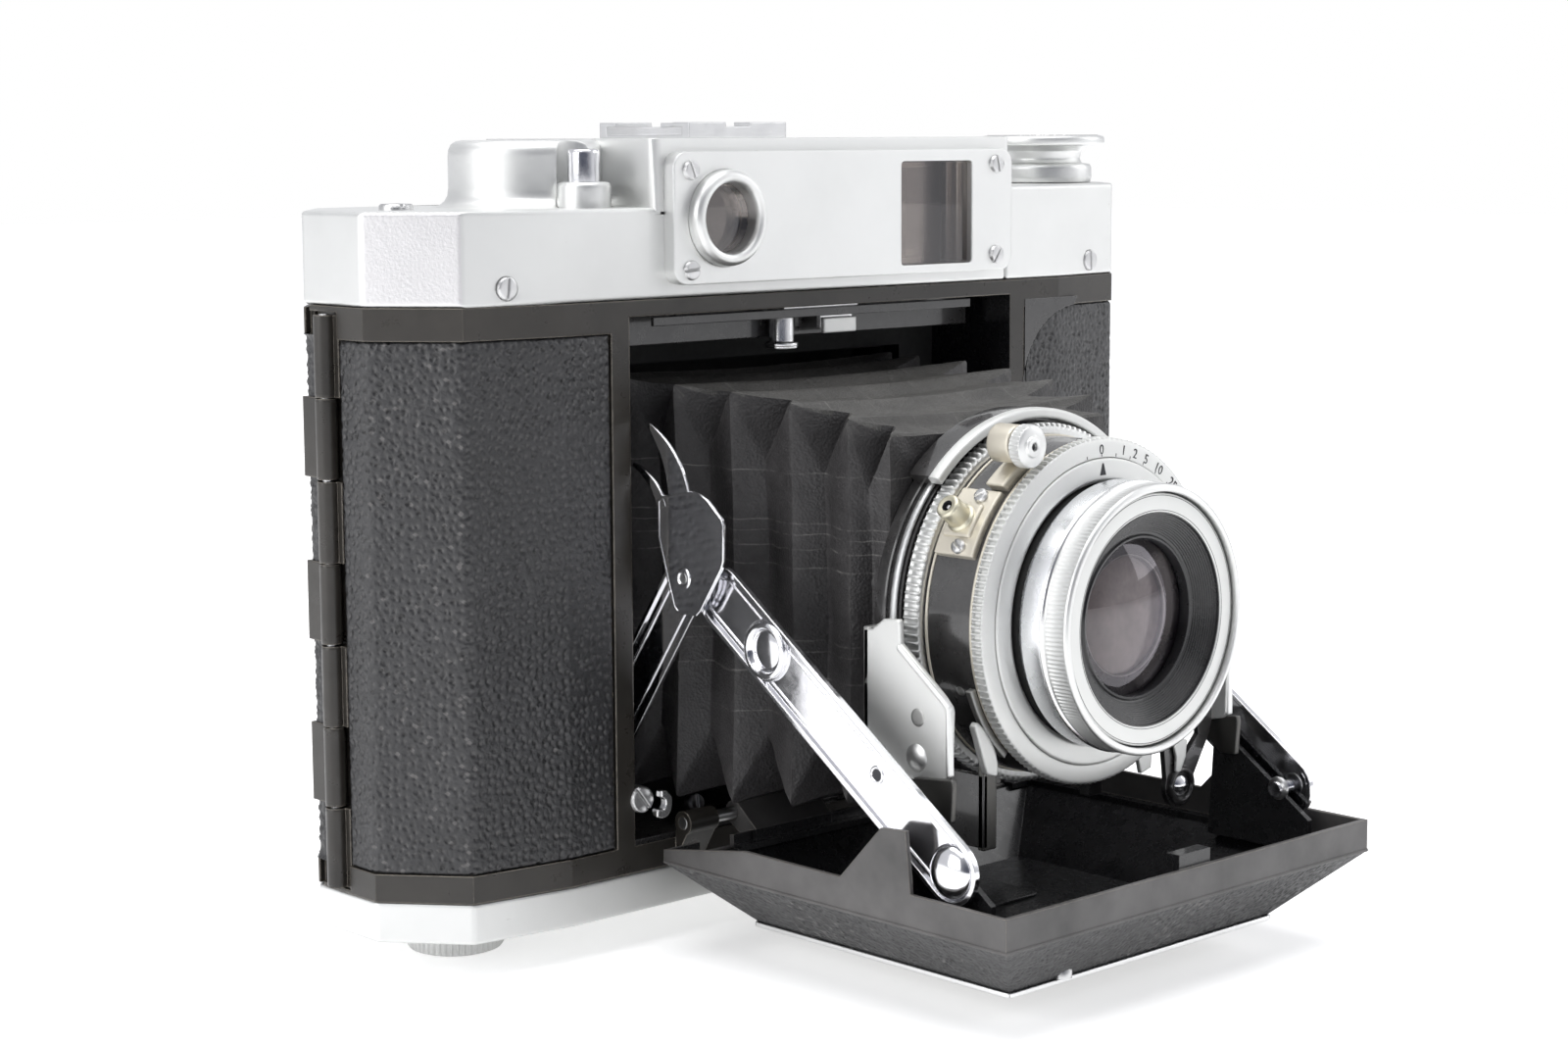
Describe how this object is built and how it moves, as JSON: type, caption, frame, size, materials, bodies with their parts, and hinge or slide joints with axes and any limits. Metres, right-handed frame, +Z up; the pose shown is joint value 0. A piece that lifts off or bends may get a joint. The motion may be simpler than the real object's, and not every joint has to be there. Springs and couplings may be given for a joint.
{
  "type": "folding roll-film camera",
  "caption": "Medium-format folding roll-film camera with drop-down lens door, pleated leather bellows, leaf-shutter lens, coupled rangefinder housing and hinged leather-covered back.",
  "frame": {"origin": "centre of the tripod socket's mouth on the underside of the base plate, 18 mm behind the body's front face", "axes": "+X to the right seen from the front, +Y towards the back, +Z up; the lens looks along -Y"},
  "size_m": [0.1415, 0.1016, 0.1077],
  "materials": {
    "enamel": "semi-gloss black enamel",
    "satin": "satin chrome finish",
    "bright": "mirror chrome",
    "steel": "brushed",
    "brass": "worn",
    "leather": "coarse pebbled",
    "bellows_leather": "thin pleated leather",
    "glass": "clear",
    "coated_glass": "faint purple coating",
    "red_glass": "ruby",
    "mirror": "silvered",
    "black_gloss": "gloss black lacquer",
    "black_matt": "matt black",
    "blade": "blued"
  },
  "bodies": {
    "body": {"body_shell": "enamel", "leather_front": "leather", "base_plate": "satin", "tripod_bush": "steel", "top_cover": "satin", "slotted_screws": "bright", "rf_plate": "satin", "rf_ring": "satin", "window_glasses": "glass", "eyepiece": "black_matt", "rf_mirrors": "mirror", "accessory_shoe": "satin", "release_collar": "satin", "bellows_frame": "black_matt", "bellows": "bellows_leather", "back_hinge_pin": "steel", "door_hinge_pin": "steel"},
    "back": {"back_cover": "enamel", "leather_back": "leather", "red_window": "red_glass"},
    "back_latch": {"back_latch": "bright"},
    "window_shutter": {"window_shutter": "black_matt"},
    "carriage": {"film_carriage": "black_matt", "pressure_plate": "black_matt"},
    "roller_l": {"film_roller_l": "bright"},
    "roller_r": {"film_roller_r": "bright"},
    "takeup": {"takeup_spool": "black_matt", "takeup_key": "steel"},
    "supply": {"supply_spool": "black_matt"},
    "winding": {"winding_wheel": "satin"},
    "knob_l": {"knob_l": "satin"},
    "knob_r": {"knob_r": "satin"},
    "focus": {"focus_wheel": "satin"},
    "dial": {"distance_dial": "satin"},
    "release": {"release_button": "bright"},
    "door": {"door_pan": "enamel", "door_leather": "leather", "door_plate": "bright"},
    "door_latch": {"door_latch": "bright"},
    "strut_front_l": {"strut_front_l": "bright"},
    "strut_front_r": {"strut_front_r": "bright"},
    "strut_rear_l": {"strut_rear_l": "bright"},
    "strut_rear_r": {"strut_rear_r": "bright"},
    "lever_l": {"lock_lever_l": "bright"},
    "lever_r": {"lock_lever_r": "bright"},
    "standard": {"lens_standard": "satin", "standard_link": "black_gloss", "shutter_case": "black_gloss", "sync_socket": "brass", "lens_barrel": "satin", "name_ring": "satin", "front_glass": "coated_glass", "rear_glass": "coated_glass", "shutter_blades": "blade", "iris": "blade"},
    "speed": {"speed_ring": "satin"},
    "aperture": {"aperture_ring": "satin"},
    "cocking": {"cocking_lever": "bright"},
    "shutter_trip": {"release_lever": "bright"},
    "selector": {"selector_wheel": "satin"}
  },
  "joints": [
    {"name": "door_hinge", "type": "hinge", "parent": "body", "child": "door", "pos_m": [0, -0.0195, 0.011], "axis": [-1, 0, 0], "range_deg": [0, 90], "deforming": ["bellows"]},
    {"name": "standard_slide", "type": "slide", "parent": "body", "child": "standard", "axis": [0, 0.998, 0.0639], "range_m": [0, 0.05163], "deforming": ["bellows"]},
    {"name": "strut_rear_l_swing", "type": "hinge", "parent": "body", "child": "strut_rear_l", "pos_m": [-0.0335, -0.0112, 0.0235], "axis": [-1, 0, 0], "range_deg": [0, 30]},
    {"name": "strut_front_l_swing", "type": "hinge", "parent": "door", "child": "strut_front_l", "pos_m": [-0.0324, -0.0715, 0.0147], "axis": [-1, 0, 0], "range_deg": [0, 28.9]},
    {"name": "lock_lever_l_swing", "type": "hinge", "parent": "strut_rear_l", "child": "lever_l", "pos_m": [-0.0341, -0.0262, 0.045], "axis": [1, 0, 0], "range_deg": [0, 36.4]},
    {"name": "strut_rear_r_swing", "type": "hinge", "parent": "body", "child": "strut_rear_r", "pos_m": [0.0335, -0.0112, 0.0235], "axis": [-1, 0, 0], "range_deg": [0, 30]},
    {"name": "strut_front_r_swing", "type": "hinge", "parent": "door", "child": "strut_front_r", "pos_m": [0.0324, -0.0715, 0.0147], "axis": [-1, 0, 0], "range_deg": [0, 28.9]},
    {"name": "lock_lever_r_swing", "type": "hinge", "parent": "strut_rear_r", "child": "lever_r", "pos_m": [0.0341, -0.0262, 0.045], "axis": [1, 0, 0], "range_deg": [0, 36.4]},
    {"name": "back_hinge", "type": "hinge", "parent": "body", "child": "back", "pos_m": [-0.06925, 0.0015, 0.0425], "axis": [0, 0, 1], "range_deg": [0, 110]},
    {"name": "back_latch_slide", "type": "slide", "parent": "body", "child": "back_latch", "axis": [0, 0, 1], "range_m": [0, 0.0035]},
    {"name": "window_shutter_swing", "type": "hinge", "parent": "back", "child": "window_shutter", "pos_m": [0.022, 0.0184, 0.0345], "axis": [0, 1, 0], "range_deg": [0, 70]},
    {"name": "focus_turn", "type": "hinge", "parent": "body", "child": "focus", "pos_m": [0.043, 0.0096, 0.0862], "axis": [0, 0, 1], "range_deg": [0, 271]},
    {"name": "film_plane_slide", "type": "slide", "parent": "body", "child": "carriage", "axis": [0, 1, 0], "range_m": [0, 0.00608]},
    {"name": "distance_dial_turn", "type": "hinge", "parent": "body", "child": "dial", "pos_m": [0.0585, -0.004, 0.098], "axis": [0, 0, 1], "range_deg": [-298, 0]},
    {"name": "film_roller_l_spin", "type": "hinge", "parent": "carriage", "child": "roller_l", "pos_m": [-0.0335, 0.00435, 0.043], "axis": [0, 0, 1], "continuous": true},
    {"name": "film_roller_r_spin", "type": "hinge", "parent": "carriage", "child": "roller_r", "pos_m": [0.0335, 0.00435, 0.043], "axis": [0, 0, 1], "continuous": true},
    {"name": "winding_turn", "type": "hinge", "parent": "body", "child": "winding", "pos_m": [-0.0348, 0.0062, 0.095], "axis": [0, 0, 1], "continuous": true},
    {"name": "takeup_spin", "type": "hinge", "parent": "body", "child": "takeup", "pos_m": [-0.052, 0, 0.042], "axis": [0, 0, 1], "continuous": true},
    {"name": "supply_spin", "type": "hinge", "parent": "body", "child": "supply", "pos_m": [0.052, 0, 0.042], "axis": [0, 0, 1], "continuous": true},
    {"name": "knob_l_pull", "type": "slide", "parent": "body", "child": "knob_l", "axis": [0, 0, -1], "range_m": [0, 0.005]},
    {"name": "knob_r_pull", "type": "slide", "parent": "body", "child": "knob_r", "axis": [0, 0, -1], "range_m": [0, 0.005]},
    {"name": "release_press", "type": "slide", "parent": "body", "child": "release", "axis": [0, 0, -1], "range_m": [0, 0.003], "stiffness_N_per_m": 250, "springref_m": -0.001},
    {"name": "door_latch_slide", "type": "slide", "parent": "body", "child": "door_latch", "axis": [1, 0, 0], "range_m": [0, 0.0025]},
    {"name": "speed_turn", "type": "hinge", "parent": "standard", "child": "speed", "pos_m": [0, -0.065, 0.0414], "axis": [0, -1, 0], "range_deg": [-60, 60]},
    {"name": "aperture_turn", "type": "hinge", "parent": "standard", "child": "aperture", "pos_m": [0, -0.065, 0.0414], "axis": [0, -1, 0], "range_deg": [-30, 60]},
    {"name": "cocking_swing", "type": "hinge", "parent": "standard", "child": "cocking", "pos_m": [0, -0.065, 0.0414], "axis": [0, -1, 0], "range_deg": [-32, 0]},
    {"name": "shutter_trip_swing", "type": "hinge", "parent": "standard", "child": "shutter_trip", "pos_m": [0, -0.065, 0.0414], "axis": [0, -1, 0], "range_deg": [-12, 0]},
    {"name": "selector_turn", "type": "hinge", "parent": "standard", "child": "selector", "pos_m": [-0.013, -0.065, 0.0634], "axis": [0, -1, 0], "range_deg": [0, 90]}
  ],
  "couplings": [
    {"joint": "standard_slide", "follows": "door_hinge", "m_per_rad": 0.032853},
    {"joint": "strut_rear_l_swing", "follows": "door_hinge", "ratio": 0.33222},
    {"joint": "strut_front_l_swing", "follows": "door_hinge", "ratio": 0.32033},
    {"joint": "lock_lever_l_swing", "follows": "door_hinge", "ratio": 0.40333},
    {"joint": "strut_rear_r_swing", "follows": "door_hinge", "ratio": 0.33222},
    {"joint": "strut_front_r_swing", "follows": "door_hinge", "ratio": 0.32033},
    {"joint": "lock_lever_r_swing", "follows": "door_hinge", "ratio": 0.40333},
    {"joint": "focus_turn", "follows": "film_plane_slide", "rad_per_m": 775.06},
    {"joint": "distance_dial_turn", "follows": "film_plane_slide", "rad_per_m": -852.57},
    {"joint": "takeup_spin", "follows": "winding_turn", "ratio": -0.64865}
  ]
}
